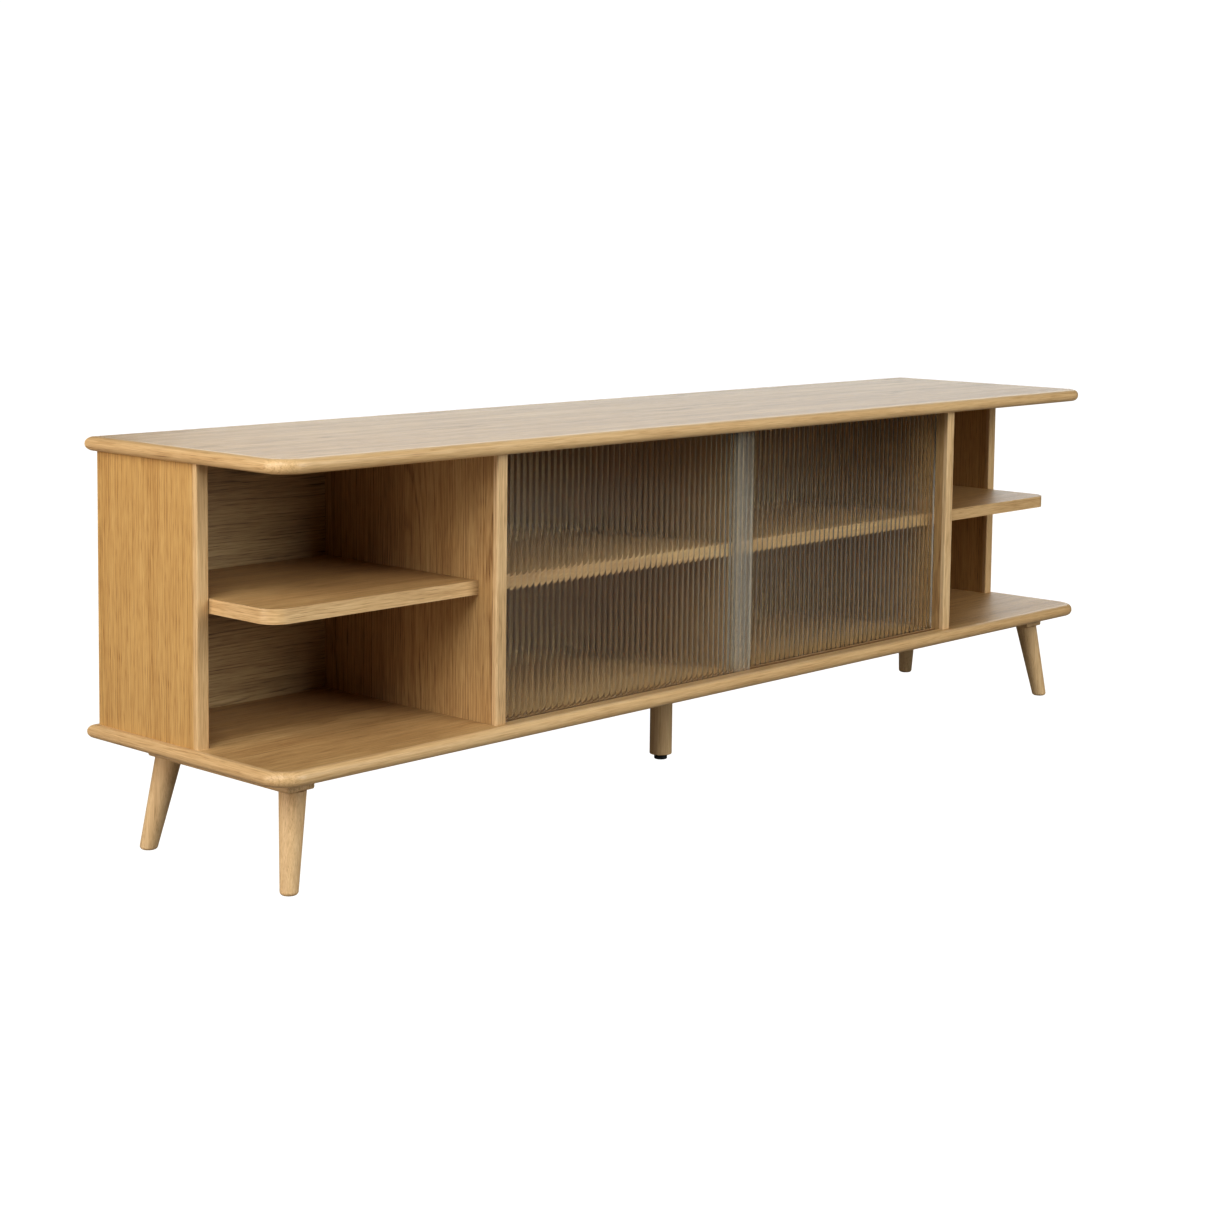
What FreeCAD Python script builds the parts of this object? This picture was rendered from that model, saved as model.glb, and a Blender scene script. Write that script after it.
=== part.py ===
import FreeCAD, Part
import math
import os
import re

import Sketcher
from FreeCAD import Placement, Rotation, Vector

# Media cabinet: two veneered boards with solid-wood lippings, held apart by two half-depth side
# panels, two full-depth dividers and a centre partition. Two ribbed glass doors slide in grooves
# across the middle. Frame: +X right along the length, -Y front, +Z up, origin on the floor under
# the middle of the boards. Millimetres.

doc = FreeCAD.newDocument("MediaCabinet")
sheet = doc.addObject("Spreadsheet::Sheet", "Sheet")

DIMENSIONS = [
    # boards
    ("board_length", 1800),
    ("board_depth", 400),
    ("board_thick", 19),
    ("front_corner", 38),
    ("lipping_width", 12),
    ("nose_radius", 9.2),
    ("underside_height", 145),
    ("clear_height", 360),
    # uprights
    ("panel_thick", 19),
    ("side_overhang", 11),
    ("rear_inset", 12),
    ("side_depth", 210),
    ("divider_half_gap", 505),
    ("divider_setback", 19),
    ("edge_strip", 8),
    ("edge_rounding", 2.5),
    ("partition_setback", 50),
    # back panels
    ("back_thick", 6),
    ("back_groove", 6),
    ("back_setback", 22),
    # shelves
    ("shelf_thick", 19),
    ("shelf_height", 190),
    ("shelf_setback", 54),
    ("shelf_corner", 28),
    ("band_thick", 1.5),
    ("shelf_play", 1),
    ("pin_radius", 2.5),
    ("pin_hole_radius", 2.55),
    ("pin_hole_depth", 8),
    ("pin_length", 15.5),
    ("pin_row_pitch", 60),
    ("pin_front_inset", 30),
    ("pin_rear_inset", 42),
    # door tracks and doors
    ("track_setback", 27),
    ("track_width", 9),
    ("track_gap", 3),
    ("bottom_groove", 6),
    ("top_groove", 12),
    ("liner_wall", 1),
    ("door_overlap", 16),
    ("door_side_play", 0.5),
    ("door_lift", 0.3),
    ("door_top_engage", 7),
    ("glass_thick", 5),
    ("flute_count", 44),
    ("flute_angle", 28),
    ("flute_ridge", 1.2),
    ("glass_margin", 2),
    # rails and legs
    ("rail_width", 44),
    ("rail_thick", 20),
    ("rail_front", 152),
    ("rail_rear", 135),
    ("rail_rounding", 3),
    ("leg_spread", 829.5),
    ("leg_end_inset", 17),
    ("leg_top_radius", 17.5),
    ("leg_foot_radius", 11.5),
    ("leg_foot_rounding", 4.5),
    ("splay_along", 21),
    ("splay_across", 18.3),
    ("centre_leg_offset", 11),
    ("centre_leg_radius", 17.2),
    ("centre_leg_rise", 8),
    ("centre_leg_rounding", 1.5),
    # levelling glide
    ("glide_radius", 10),
    ("glide_height", 6),
    ("stud_radius", 3),
    ("stud_start", 2),
    ("stud_length", 26),
    ("insert_radius", 5),
    ("insert_bore", 3.06),
    ("insert_length", 16),
    ("stud_bore", 36),
    # fasteners
    ("bolt_radius", 4),
    ("bolt_length", 44),
    ("bolt_in_rail", 14),
    ("rail_screw_radius", 2.25),
    ("rail_screw_head", 4.5),
    ("rail_screw_sink", 3.5),
    ("rail_screw_length", 30),
    ("dowel_radius", 4),
    ("dowel_length", 32),
    ("dowel_in_board", 10),
    ("shelf_dowel_radius", 3),
    ("shelf_dowel_length", 28),
    ("shelf_dowel_in_panel", 10),
    ("joint_screw_radius", 3.2),
    ("joint_screw_head", 5),
    ("joint_screw_sink", 4),
    ("joint_screw_length", 50),
]

for row, (alias, size) in enumerate(DIMENSIONS, start=1):
    sheet.set(f"A{row}", alias)
    sheet.set(f"B{row}", str(size))
    sheet.setAlias(f"B{row}", alias)
doc.recompute()

dim = {alias: float(sheet.get(alias)) for alias, _ in DIMENSIONS}
nodes = {}

# Levels and lines worked out from the driving dimensions.
UNDERSIDE = dim["underside_height"]
FLOOR_TOP = UNDERSIDE + dim["board_thick"]
CEILING = FLOOR_TOP + dim["clear_height"]
REAR = dim["board_depth"] / 2 - dim["rear_inset"]
BACK_FACE = REAR - dim["back_setback"]
DIVIDER_FRONT = -dim["board_depth"] / 2 + dim["divider_setback"]
SHELF_FRONT = -dim["board_depth"] / 2 + dim["shelf_setback"]
PARTITION_FRONT = -dim["board_depth"] / 2 + dim["partition_setback"]
SIDE_FRONT = REAR - dim["side_depth"]
SIDE_X = dim["board_length"] / 2 - dim["side_overhang"] - dim["panel_thick"] / 2
DIVIDER_X = dim["divider_half_gap"] + dim["panel_thick"] / 2
BAY_OUTER = SIDE_X - dim["panel_thick"] / 2
BAY_INNER = DIVIDER_X + dim["panel_thick"] / 2
SHELF_TOP = dim["shelf_height"]
SHELF_UNDER = SHELF_TOP - dim["shelf_thick"]


# ---- document helpers -------------------------------------------------------------------------

def with_sheet(text):
    """Prefix every alias in an expression with the sheet's name."""
    return re.sub(r"[a-z_]+", lambda word: "Sheet." + word[0] if word[0] in dim else word[0], text)


def bind(item, path, text):
    item.setExpression(path, with_sheet(text))


def place(item, x="0", y="0", z="0"):
    """Bind an object's position to the sheet."""
    bind(item, "Placement.Base.x", x)
    bind(item, "Placement.Base.y", y)
    bind(item, "Placement.Base.z", z)


def keep(label, item):
    """Register an object as one of the cabinet's nodes."""
    item.Label = label
    nodes[label] = item
    return item


def new_body(label):
    body = doc.addObject("PartDesign::Body", label)
    body.Label = label
    return body


def new_sketch(body, role="XY_Plane", x="0", y="0", z="0"):
    """A sketch on one of the body's own planes, moved by expressions."""
    sketch = body.newObject("Sketcher::SketchObject", body.Name + "_sketch")
    plane = next(item for item in body.Origin.OriginFeatures if item.Role == role)
    sketch.AttachmentSupport = [(plane, "")]
    sketch.MapMode = "FlatFace"
    bind(sketch, "AttachmentOffset.Base.x", x)
    bind(sketch, "AttachmentOffset.Base.y", y)
    bind(sketch, "AttachmentOffset.Base.z", z)
    return sketch


def rectangle(sketch, wide, deep):
    """A rectangle centred on the sketch's origin, with both sides bound."""
    corners = [Vector(-1, -1, 0), Vector(1, -1, 0), Vector(1, 1, 0), Vector(-1, 1, 0)]
    for start, end in zip(corners, corners[1:] + corners[:1]):
        sketch.addGeometry(Part.LineSegment(start, end), False)
    for line in range(4):
        sketch.addConstraint(Sketcher.Constraint("Coincident", line, 2, (line + 1) % 4, 1))
    for line, direction in enumerate(["Horizontal", "Vertical", "Horizontal", "Vertical"]):
        sketch.addConstraint(Sketcher.Constraint(direction, line))
    sketch.addConstraint(Sketcher.Constraint("Symmetric", 0, 1, 1, 2, -1, 1))
    across = sketch.addConstraint(Sketcher.Constraint("DistanceX", 0, 1, 0, 2, 2.0))
    along = sketch.addConstraint(Sketcher.Constraint("DistanceY", 1, 1, 1, 2, 2.0))
    sketch.renameConstraint(across, "wide")
    sketch.renameConstraint(along, "deep")
    bind(sketch, "Constraints.wide", wide)
    bind(sketch, "Constraints.deep", deep)
    return sketch


def circles(sketch, centres, radius):
    """Equal circles: the first one's radius is bound and the rest follow it."""
    for index, (x, y) in enumerate(centres):
        sketch.addGeometry(Part.Circle(Vector(x, y, 0), Vector(0, 0, 1), 1.0), False)
        if index:
            sketch.addConstraint(Sketcher.Constraint("Equal", 0, index))
    sized = sketch.addConstraint(Sketcher.Constraint("Radius", 0, 1.0))
    sketch.renameConstraint(sized, "radius")
    bind(sketch, "Constraints.radius", radius)
    return sketch


def outline(sketch, edges):
    """Lines (two points) and arcs (three points) that close on themselves."""
    for points in edges:
        ends = [Vector(x, y, 0) for x, y in points]
        curve = Part.LineSegment(*ends) if len(ends) == 2 else Part.Arc(*ends)
        sketch.addGeometry(curve, False)
    return sketch


def pad(body, sketch, length):
    feature = body.newObject("PartDesign::Pad", body.Name + "_pad")
    feature.Profile = sketch
    bind(feature, "Length", length)
    doc.recompute()
    return feature


def pocket(body, sketch, depth, reverse=False):
    """Cut a sketch into the body, against its normal unless reversed, and see that it cuts."""
    before = body.Shape.Volume
    feature = body.newObject("PartDesign::Pocket", body.Name + "_pocket")
    feature.Profile = sketch
    feature.Reversed = reverse
    bind(feature, "Length", depth)
    doc.recompute()
    if not body.Shape.Volume < before:
        raise RuntimeError(f"{body.Label}: {feature.Name} removes nothing")
    return feature


def fillet(body, base, chosen, radius):
    """Round the edges of a feature that a test picks out."""
    names = [f"Edge{number}" for number, edge in enumerate(base.Shape.Edges, 1) if chosen(edge)]
    feature = body.newObject("PartDesign::Fillet", body.Name + "_fillet")
    feature.Base = (base, names)
    bind(feature, "Radius", radius)
    doc.recompute()
    return feature


def upright(edge):
    box = edge.BoundBox
    return box.XLength < 1e-6 and box.YLength < 1e-6


def level(edge):
    return edge.BoundBox.ZLength < 1e-6


def middle(edge):
    return edge.BoundBox.Center


def cut(label, base, tool):
    result = doc.addObject("Part::Cut", label)
    result.Base = base
    result.Tool = tool
    return result


def common(label, base, tool):
    result = doc.addObject("Part::Common", label)
    result.Base = base
    result.Tool = tool
    return result


def group(label, items):
    """Identical fasteners kept together as separate solids in one node."""
    result = doc.addObject("Part::Compound", label)
    result.Links = items
    return keep(label, result)


def cylinder(label, radius, height, start, direction=(0, 0, 1)):
    """A bound cylinder that starts at a point and runs along a direction."""
    rod = doc.addObject("Part::Cylinder", label)
    bind(rod, "Radius", radius)
    bind(rod, "Height", height)
    rod.Placement = Placement(Vector(*start), Rotation(Vector(0, 0, 1), Vector(*direction)))
    return rod


def countersunk_screw(label, radius, head, sink, length, start):
    """A screw that points up: a cone-shaped head that narrows to a plain shank."""
    shank = cylinder(label + "_shank", radius, length, start)
    cone = doc.addObject("Part::Cone", label + "_head")
    bind(cone, "Radius1", head)
    bind(cone, "Radius2", radius)
    bind(cone, "Height", sink)
    cone.Placement = Placement(Vector(*start), Rotation())
    screw = doc.addObject("Part::Fuse", label)
    screw.Base = shank
    screw.Tool = cone
    return screw


def countersink(body, centres, radius, head, sink, depth, start="0"):
    """Clearance for countersunk screws driven upwards from a body's lower face."""
    pocket(body, circles(new_sketch(body, z=start), centres, radius), depth, reverse=True)
    mouth = pocket(body, circles(new_sketch(body, z=start), centres, head), sink, reverse=True)
    shrink = math.degrees(math.atan((dim[head] - dim[radius]) / dim[sink]))
    mouth.TaperAngle = -shrink
    doc.recompute()


# ---- boards and their lippings ----------------------------------------------------------------

def rounded_board(label, inset):
    """A board blank, centred in plan, with its front corners rounded; inset is the lipping's width."""
    body = new_body(label)
    plan = rectangle(new_sketch(body), f"board_length - 2 * {inset}", f"board_depth - 2 * {inset}")
    blank = pad(body, plan, "board_thick")
    return body, fillet(body, blank, lambda e: upright(e) and middle(e).y < 0,
                        f"front_corner - {inset}")


def lipping_pieces():
    """The solid edging: a bullnosed ring round the board, mitred at its four corners."""
    full, corners = rounded_board("lipped_outline", "0")
    fillet(full, corners, level, "nose_radius")
    inside, _ = rounded_board("lipping_inside", "lipping_width")
    ring = cut("lipping_ring", full, inside)
    half_x, half_y = dim["board_length"] / 2, dim["board_depth"] / 2
    reach = 2 * dim["lipping_width"] + dim["front_corner"]
    inner_x, inner_y = half_x - reach, half_y - reach
    sides = {
        "front": [(-half_x, -half_y), (half_x, -half_y), (inner_x, -inner_y), (-inner_x, -inner_y)],
        "rear": [(-half_x, half_y), (half_x, half_y), (inner_x, inner_y), (-inner_x, inner_y)],
        "left": [(-half_x, -half_y), (-half_x, half_y), (-inner_x, inner_y), (-inner_x, -inner_y)],
        "right": [(half_x, -half_y), (half_x, half_y), (inner_x, inner_y), (inner_x, -inner_y)],
    }
    for side, corner_points in sides.items():
        wedge = new_body(f"{side}_mitre")
        edges = list(zip(corner_points, corner_points[1:] + corner_points[:1]))
        pad(wedge, outline(new_sketch(wedge), edges), "board_thick")
        for board, height in (("top", "underside_height + board_thick + clear_height"),
                              ("bottom", "underside_height")):
            piece = common(f"{board}_{side}_lipping", ring, wedge)
            place(piece, z=height)
            keep(piece.Name, piece)


def track_offsets():
    """Expressions for the middle of the front and the rear door groove across the depth."""
    front = "-board_depth / 2 + track_setback + track_width / 2"
    return {"front": front, "rear": front + " + track_width + track_gap"}


def upright_lines():
    """Every upright panel: its middle along the length, and its front line."""
    return {
        "left_side": (-SIDE_X, SIDE_FRONT),
        "left_divider": (-DIVIDER_X, DIVIDER_FRONT),
        "centre_partition": (0.0, PARTITION_FRONT),
        "right_divider": (DIVIDER_X, DIVIDER_FRONT),
        "right_side": (SIDE_X, SIDE_FRONT),
    }


def joint_places(name, inset):
    """The two fixing places, inset from the ends of one upright's core."""
    x, front = upright_lines()[name]
    rear = BACK_FACE if name == "centre_partition" else REAR
    return [(x, front + dim["edge_strip"] + inset), (x, rear - inset)]


DOWEL_INSET = 28.0
SCREW_INSET = 62.0
DOWEL_PLACES = [spot for name in upright_lines() for spot in joint_places(name, DOWEL_INSET)]
SCREW_PLACES = [spot for name in upright_lines() for spot in joint_places(name, SCREW_INSET)]
RAIL_SCREW_ROWS = [-95.0, -8.5, 78.0]


def rail_screw_places():
    return [(side * dim["leg_spread"], y) for side in (-1, 1) for y in RAIL_SCREW_ROWS]


def top_panel():
    body, _ = rounded_board("top_panel", "lipping_width")
    for middle_line in track_offsets().values():
        groove = rectangle(new_sketch(body, y=middle_line), "2 * divider_half_gap", "track_width")
        pocket(body, groove, "top_groove", reverse=True)
    pocket(body, circles(new_sketch(body), DOWEL_PLACES, "dowel_radius"), "dowel_in_board", reverse=True)
    place(body, z="underside_height + board_thick + clear_height")
    keep("top_panel", body)


def bottom_panel():
    body, _ = rounded_board("bottom_panel", "lipping_width")
    for middle_line in track_offsets().values():
        groove = new_sketch(body, y=middle_line, z="board_thick")
        pocket(body, rectangle(groove, "2 * divider_half_gap", "track_width"), "bottom_groove")
    holes = circles(new_sketch(body, z="board_thick"), DOWEL_PLACES, "dowel_radius")
    pocket(body, holes, "dowel_in_board")
    countersink(body, SCREW_PLACES, "joint_screw_radius", "joint_screw_head", "joint_screw_sink",
                "board_thick")
    pocket(body, circles(new_sketch(body), rail_screw_places(), "rail_screw_radius"),
           "rail_screw_length - rail_thick", reverse=True)
    pocket(body, circles(new_sketch(body), [(dim["centre_leg_offset"], 0)], "bolt_radius"),
           "bolt_in_rail", reverse=True)
    place(body, z="underside_height")
    keep("bottom_panel", body)


def track_liner(label, middle_line, depth, from_top):
    """A U-shaped runner that lines one groove; from_top says which way it opens."""
    body = new_body(label)
    pad(body, rectangle(new_sketch(body), "2 * divider_half_gap", "track_width"), depth)
    channel = new_sketch(body, z=depth if from_top else "0")
    rectangle(channel, "2 * divider_half_gap", "track_width - 2 * liner_wall")
    pocket(body, channel, f"{depth} - liner_wall", reverse=not from_top)
    height = "underside_height + board_thick - bottom_groove" if from_top else \
        "underside_height + board_thick + clear_height"
    place(body, y=middle_line, z=height)
    keep(label, body)


# ---- uprights ---------------------------------------------------------------------------------

def upright_panel(label, x, front, rear, back_grooves=(), pin_faces=(), dowel_faces=()):
    """An upright's core. x, front and rear are expressions; faces are -1 (left) or 1 (right)."""
    body = new_body(label)
    depth = f"({rear}) - ({front}) - edge_strip"
    centre = f"(({rear}) + ({front}) + edge_strip) / 2"
    blank = rectangle(new_sketch(body), "panel_thick", depth)
    pad(body, blank, "clear_height")
    place(body, x=x, y=centre, z="underside_height + board_thick")
    doc.recompute()
    offset = body.Placement.Base.y
    for face in back_grooves:
        groove = new_sketch(body, x=f"{face} * (panel_thick - back_groove) / 2",
                            y=f"board_depth / 2 - rear_inset - back_setback + back_thick / 2 - ({centre})")
        pocket(body, rectangle(groove, "back_groove", "back_thick"), "clear_height", reverse=True)
    for face in pin_faces:
        holes = new_sketch(body, role="YZ_Plane", z=f"{face} * panel_thick / 2")
        circles(holes, [(y - offset, z) for y in pin_columns() for z in pin_rows()], "pin_hole_radius")
        pocket(body, holes, "pin_hole_depth", reverse=face < 0)
    for face, columns in dowel_faces:
        holes = new_sketch(body, role="YZ_Plane", z=f"{face} * panel_thick / 2")
        height = (SHELF_TOP + SHELF_UNDER) / 2
        circles(holes, [(y - offset, height) for y in columns], "shelf_dowel_radius")
        pocket(body, holes, "shelf_dowel_in_panel", reverse=face < 0)
    ends = local_spots(body, DOWEL_PLACES)
    pocket(body, circles(new_sketch(body), ends, "dowel_radius"), "dowel_length - dowel_in_board",
           reverse=True)
    pocket(body, circles(new_sketch(body, z="clear_height"), ends, "dowel_radius"),
           "dowel_length - dowel_in_board")
    pocket(body, circles(new_sketch(body), local_spots(body, SCREW_PLACES), "joint_screw_radius"),
           "joint_screw_length - board_thick", reverse=True)
    keep(label, body)


def local_spots(body, spots):
    """The fixing places that fall on an upright, in its own frame."""
    base = body.Placement.Base
    return [(0, y - base.y) for x, y in spots if abs(x - base.x) < 1]


def pin_columns():
    return [SHELF_FRONT + dim["pin_front_inset"], BACK_FACE - dim["pin_rear_inset"]]


def pin_rows():
    level_row = SHELF_UNDER - dim["pin_radius"]
    return [level_row + step * dim["pin_row_pitch"] for step in (-1, 0, 1)]


def edge_strip(label, x, front):
    """The solid strip on an upright's front edge, with its two front arrises rounded."""
    body = new_body(label)
    strip = pad(body, rectangle(new_sketch(body), "panel_thick", "edge_strip"), "clear_height")
    fillet(body, strip, lambda e: upright(e) and middle(e).y < 0, "edge_rounding")
    place(body, x=x, y=f"({front}) + edge_strip / 2", z="underside_height + board_thick")
    keep(label, body)


SIDE_DOWEL_COLUMNS = [SIDE_FRONT + 45, BACK_FACE - 36]
DIVIDER_DOWEL_COLUMNS = [SHELF_FRONT + 36, BACK_FACE - 36]


def all_uprights():
    rear = "board_depth / 2 - rear_inset"
    side_front = "board_depth / 2 - rear_inset - side_depth"
    divider_front = "-board_depth / 2 + divider_setback"
    partition_front = "-board_depth / 2 + partition_setback"
    for name, side in (("left", -1), ("right", 1)):
        side_x = f"{side} * (board_length / 2 - side_overhang - panel_thick / 2)"
        divider_x = f"{side} * (divider_half_gap + panel_thick / 2)"
        upright_panel(f"{name}_side_panel", side_x, side_front, rear, back_grooves=[-side],
                      dowel_faces=[(-side, SIDE_DOWEL_COLUMNS)])
        edge_strip(f"{name}_side_edge", side_x, side_front)
        upright_panel(f"{name}_divider", divider_x, divider_front, rear, back_grooves=[-1, 1],
                      pin_faces=[-side], dowel_faces=[(side, DIVIDER_DOWEL_COLUMNS)])
        edge_strip(f"{name}_divider_edge", divider_x, divider_front)
    upright_panel("centre_partition", "0", partition_front, f"{rear} - back_setback", pin_faces=[-1, 1])
    edge_strip("centre_partition_edge", "0", partition_front)


def back_panel(label, x, wide):
    body = new_body(label)
    pad(body, rectangle(new_sketch(body), f"{wide} + 2 * back_groove", "back_thick"), "clear_height")
    place(body, x=x, y="board_depth / 2 - rear_inset - back_setback + back_thick / 2",
          z="underside_height + board_thick")
    keep(label, body)


# ---- shelves ----------------------------------------------------------------------------------

def open_shelf(name, side):
    """A fixed shelf with a rounded outer front corner, and the thin band glued round that edge."""
    outer, inner = side * BAY_OUTER, side * BAY_INNER
    band, corner = dim["band_thick"], dim["shelf_corner"]
    banded = outer - side * band
    turn_x, turn_y = outer - side * corner, SHELF_FRONT + corner
    slant = corner * math.sqrt(0.5)
    inset_slant = (corner - band) * math.sqrt(0.5)
    outer_arc = [(turn_x, SHELF_FRONT), (turn_x + side * slant, turn_y - slant), (outer, turn_y)]
    inner_arc = [(turn_x, SHELF_FRONT + band),
                 (turn_x + side * inset_slant, turn_y - inset_slant), (banded, turn_y)]
    core = new_body(f"{name}_open_shelf")
    plan = outline(new_sketch(core), [
        [(inner, SHELF_FRONT + band), inner_arc[0]], inner_arc, [inner_arc[2], (banded, SIDE_FRONT)],
        [(banded, SIDE_FRONT), (outer, SIDE_FRONT)], [(outer, SIDE_FRONT), (outer, BACK_FACE)],
        [(outer, BACK_FACE), (inner, BACK_FACE)], [(inner, BACK_FACE), (inner, SHELF_FRONT + band)]])
    pad(core, plan, "shelf_thick")
    for x, face, columns in ((outer, side, SIDE_DOWEL_COLUMNS), (inner, -side, DIVIDER_DOWEL_COLUMNS)):
        holes = new_sketch(core, role="YZ_Plane", z=str(x))
        circles(holes, [(y, dim["shelf_thick"] / 2) for y in columns], "shelf_dowel_radius")
        pocket(core, holes, "shelf_dowel_length - shelf_dowel_in_panel", reverse=face < 0)
    strip = new_body(f"{name}_shelf_band")
    plan = outline(new_sketch(strip), [
        [(inner, SHELF_FRONT), outer_arc[0]], outer_arc, [outer_arc[2], (outer, SIDE_FRONT)],
        [(outer, SIDE_FRONT), (banded, SIDE_FRONT)], [(banded, SIDE_FRONT), inner_arc[2]], inner_arc,
        [inner_arc[0], (inner, SHELF_FRONT + band)], [(inner, SHELF_FRONT + band), (inner, SHELF_FRONT)]])
    pad(strip, plan, "shelf_thick")
    for body in (core, strip):
        place(body, z="underside_height + board_thick + shelf_height - shelf_thick")
        keep(body.Label, body)


def inner_shelf(name, side):
    """An adjustable shelf behind the glass, with a solid strip on its front edge."""
    wide = "divider_half_gap - panel_thick / 2 - 2 * shelf_play"
    x = f"{side} * (divider_half_gap + panel_thick / 2) / 2"
    front = "-board_depth / 2 + shelf_setback"
    rear = "board_depth / 2 - rear_inset - back_setback - shelf_play"
    height = "underside_height + board_thick + shelf_height - shelf_thick"
    core = new_body(f"{name}_inner_shelf")
    pad(core, rectangle(new_sketch(core), wide, f"{rear} - ({front}) - edge_strip"), "shelf_thick")
    place(core, x=x, y=f"({rear} + ({front}) + edge_strip) / 2", z=height)
    keep(core.Label, core)
    strip = new_body(f"{name}_inner_shelf_edge")
    pad(strip, rectangle(new_sketch(strip), wide, "edge_strip"), "shelf_thick")
    place(strip, x=x, y=f"{front} + edge_strip / 2", z=height)
    keep(strip.Label, strip)


def shelf_pins():
    """Four pins under each inner shelf, half in their holes."""
    pins = []
    height = FLOOR_TOP + SHELF_UNDER - dim["pin_radius"]
    half_panel = dim["panel_thick"] / 2
    for face_x, way in ((-dim["divider_half_gap"], 1), (-half_panel, -1), (half_panel, 1),
                        (dim["divider_half_gap"], -1)):
        for y in pin_columns():
            start = (face_x - way * (dim["pin_hole_depth"] - 0.5), y, height)
            pins.append(cylinder("shelf_pin", "pin_radius", "pin_length", start, (way, 0, 0)))
    group("shelf_pins", pins)


# ---- glass doors ------------------------------------------------------------------------------

def flute_profile(width):
    """Plan outline of the ribbed glass: hollow flutes between narrow rounded ridges, flat behind."""
    lean = math.radians(dim["flute_angle"])
    count = int(dim["flute_count"])
    pitch = (width - 2 * dim["glass_margin"]) / count
    ridge = dim["flute_ridge"]
    hollow = pitch / (2 * math.sin(lean)) - ridge
    crest = -dim["glass_thick"] / 2
    shoulder_x = ridge * math.sin(lean)
    shoulder_y = crest + ridge * (1 - math.cos(lean))
    bed = shoulder_y + hollow * (1 - math.cos(lean))
    first = -count * pitch / 2
    half_lean = lean / 2
    side_x, side_y = ridge * math.sin(half_lean), crest + ridge * (1 - math.cos(half_lean))
    edges = [[(-width / 2, crest), (first, crest)],
             [(first, crest), (first + side_x, side_y), (first + shoulder_x, shoulder_y)]]
    for number in range(count):
        left = first + number * pitch
        right = left + pitch
        edges.append([(left + shoulder_x, shoulder_y), (left + pitch / 2, bed),
                      (right - shoulder_x, shoulder_y)])
        if number < count - 1:
            edges.append([(right - shoulder_x, shoulder_y), (right, crest),
                          (right + shoulder_x, shoulder_y)])
    last = -first
    edges.append([(last - shoulder_x, shoulder_y), (last - side_x, side_y), (last, crest)])
    edges.append([(last, crest), (width / 2, crest)])
    edges.append([(width / 2, crest), (width / 2, -crest)])
    edges.append([(width / 2, -crest), (-width / 2, -crest)])
    edges.append([(-width / 2, -crest), (-width / 2, crest)])
    return edges


def glass_door(label, side, track):
    """One sliding door. It stands in the lower runner and reaches up into the upper one."""
    width = dim["divider_half_gap"] - dim["door_side_play"] + dim["door_overlap"]
    body = new_body(label)
    plan = outline(new_sketch(body), flute_profile(width))
    pad(body, plan, "clear_height + bottom_groove - liner_wall - door_lift + door_top_engage")
    place(body, x=f"{side} * (divider_half_gap - door_side_play - door_overlap) / 2",
          y=track_offsets()[track],
          z="underside_height + board_thick - bottom_groove + liner_wall + door_lift")
    keep(label, body)


# ---- rails, legs and levelling glide ----------------------------------------------------------

def leg_places():
    """Each splayed leg: its name, its signs along and across, and the middle of its top face."""
    top_front = -dim["rail_front"] + dim["leg_end_inset"]
    top_rear = dim["rail_rear"] - dim["leg_end_inset"]
    return [(f"{end}_{name}_leg", side, across, side * dim["leg_spread"], y)
            for name, side in (("left", -1), ("right", 1))
            for end, across, y in (("front", -1, top_front), ("rear", 1, top_rear))]


def leg_bolts():
    """Hanger bolts: one along each splayed leg's axis, and an upright one in the centre leg."""
    bolts = {}
    rail_under = UNDERSIDE - dim["rail_thick"]
    for label, side, across, x, y in leg_places():
        axis = Vector(-side * dim["splay_along"], -across * dim["splay_across"], rail_under)
        axis.normalize()
        start = Vector(x, y, rail_under) - axis * (dim["bolt_length"] - dim["bolt_in_rail"])
        bolts[label] = cylinder("leg_bolt", "bolt_radius", "bolt_length", start, axis)
    start = (dim["centre_leg_offset"], 0, UNDERSIDE + dim["bolt_in_rail"] - dim["bolt_length"])
    bolts["centre_leg"] = cylinder("leg_bolt", "bolt_radius", "bolt_length", start)
    group("leg_bolts", list(bolts.values()))
    return bolts


def splayed_leg(label, side, across, x, y, bolt):
    """A tapered leg between a level top face and a rounded level foot, bored for its bolt."""
    rail_under = UNDERSIDE - dim["rail_thick"]
    rise = Vector(-side * dim["splay_along"], -across * dim["splay_across"], rail_under)
    spare = dim["leg_foot_radius"]
    taper = spare * (dim["leg_top_radius"] - dim["leg_foot_radius"]) / rise.Length
    cone = doc.addObject("Part::Cone", label + "_cone")
    bind(cone, "Radius1", f"leg_foot_radius - {taper}")
    bind(cone, "Radius2", f"leg_top_radius + {taper}")
    cone.Height = rise.Length + 2 * spare
    start = Vector(x, y, rail_under) - rise * (1 + spare / rise.Length)
    cone.Placement = Placement(start, Rotation(Vector(0, 0, 1), rise))
    slab = doc.addObject("Part::Box", label + "_slab")
    reach = 4 * dim["leg_top_radius"]
    slab.Length = slab.Width = 2 * reach
    bind(slab, "Height", "underside_height - rail_thick")
    slab.Placement = Placement(Vector(x - reach, y - reach, 0), Rotation())
    trimmed = common(label + "_trimmed", cone, slab)
    doc.recompute()
    foot = [number for number, edge in enumerate(trimmed.Shape.Edges, 1)
            if level(edge) and middle(edge).z < 1]
    rounded = doc.addObject("Part::Fillet", label + "_rounded")
    rounded.Base = trimmed
    rounded.Edges = [(number, dim["leg_foot_rounding"], dim["leg_foot_rounding"]) for number in foot]
    keep(label, cut(label, rounded, bolt))


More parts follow.
